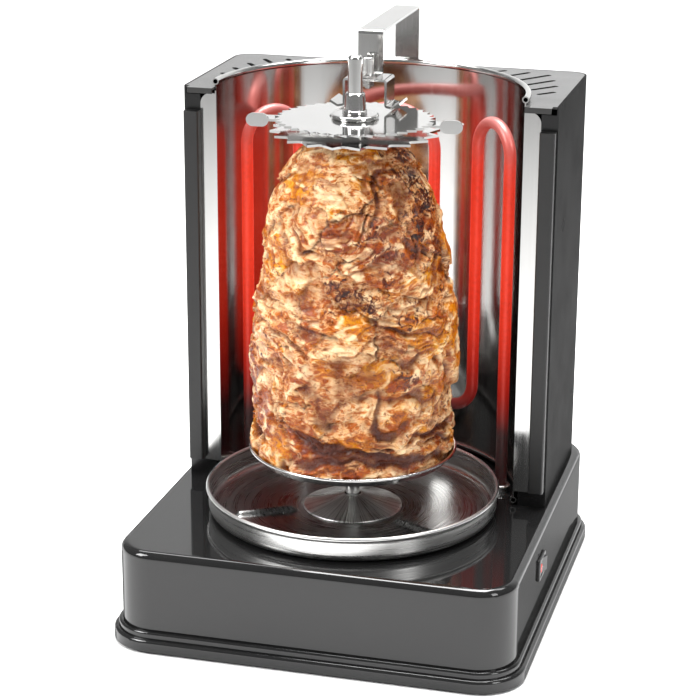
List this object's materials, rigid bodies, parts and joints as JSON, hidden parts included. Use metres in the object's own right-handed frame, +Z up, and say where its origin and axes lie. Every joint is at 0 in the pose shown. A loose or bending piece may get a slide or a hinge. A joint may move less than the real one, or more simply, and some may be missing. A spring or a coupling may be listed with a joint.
{
  "type": "rotisserie oven",
  "caption": "Upright rotisserie oven: gloss black base and tower, mirror reflector, looped heater, turning spit with clamped roast, lift-out drip pan and support arm.",
  "frame": {"origin": "centre of the footprint, on the surface the feet stand on", "axes": "+Z up, -Y toward the front, +X to the right as seen from the front"},
  "size_m": [0.272, 0.292, 0.381],
  "materials": {
    "gloss_black_shell": "polished",
    "gloss_black_trim": "polished",
    "tower_enamel": "gloss",
    "tower_lid_gloss": "gloss",
    "matte_trim": "satin",
    "mirror_steel": "mirror polished",
    "heater_sheath": "glowing sheath",
    "ferrule_steel": "satin",
    "plate_steel": "polished",
    "pan_steel": "brushed",
    "cone_steel": "spun",
    "disc_steel": "polished",
    "rod_steel": "polished",
    "strap_steel": "satin polished",
    "knurl_steel": "knurled",
    "screw_steel": "zinc plated",
    "zinc_sheet": "galvanised",
    "motor_can": "plated can",
    "bearing_bronze": "sintered",
    "ceramic_white": "unglazed",
    "black_rubber": "matte",
    "switch_plastic": "satin",
    "lead_sleeve": "glass sleeve",
    "roast_meat": "roasted, moist",
    "red_window": "translucent red"
  },
  "bodies": {
    "housing": {"base_housing": "gloss_black_shell", "base_skirt": "gloss_black_trim", "bottom_plate": "zinc_sheet", "rubber_feet": "black_rubber", "foot_screws": "screw_steel", "gear_motor": "motor_can", "motor_plate": "zinc_sheet", "plate_screws": "screw_steel", "motor_screws": "screw_steel", "bearing_bush": "bearing_bronze", "tower_casing": "tower_enamel", "tower_screws": "screw_steel", "tower_top_plate": "tower_lid_gloss", "trim_left": "matte_trim", "trim_right": "matte_trim", "reflector": "mirror_steel", "heater_tube": "heater_sheath", "heater_ferrules": "ferrule_steel", "ceramic_bushes": "ceramic_white", "heater_pins": "screw_steel", "arm_socket": "zinc_sheet", "switch_body": "switch_plastic", "cord_gland": "switch_plastic", "terminal_block": "ceramic_white", "thermal_cutout": "motor_can", "heater_lead_right": "lead_sleeve", "heater_lead_left": "lead_sleeve", "motor_lead": "lead_sleeve", "switch_lead": "lead_sleeve"},
    "spit": {"motor_shaft": "screw_steel", "drive_coupling": "bearing_bronze", "drive_shaft": "rod_steel", "plate_hub": "rod_steel", "lower_plate": "plate_steel", "spit_rod": "rod_steel", "meat_load": "roast_meat", "lower_disc": "disc_steel", "upper_disc": "disc_steel", "disc_spacer": "rod_steel", "holder_bar": "disc_steel", "clamp_washer": "rod_steel", "clamp_collar": "rod_steel"},
    "pan": {"drip_pan": "pan_steel", "pan_cone": "cone_steel"},
    "arm": {"arm_strap": "strap_steel", "hold_down_yoke": "strap_steel", "yoke_nut": "screw_steel", "yoke_bolt": "screw_steel", "knurled_nut": "knurl_steel"},
    "rocker": {"rocker_key": "switch_plastic", "rocker_lens": "red_window"}
  },
  "joints": [
    {"name": "spit_turn", "type": "hinge", "parent": "housing", "child": "spit", "pos_m": [0, -0.028, 0.1], "axis": [0, 0, 1], "continuous": true},
    {"name": "pan_lift", "type": "slide", "parent": "housing", "child": "pan", "axis": [0, 0, 1], "range_m": [0, 0.014]},
    {"name": "arm_lift", "type": "slide", "parent": "housing", "child": "arm", "axis": [0, 0, 1], "range_m": [0, 0.06]},
    {"name": "rocker_tilt", "type": "hinge", "parent": "housing", "child": "rocker", "pos_m": [0.1295, -0.038, 0.044], "axis": [0, 0, 1], "range_deg": [0, 16]}
  ]
}
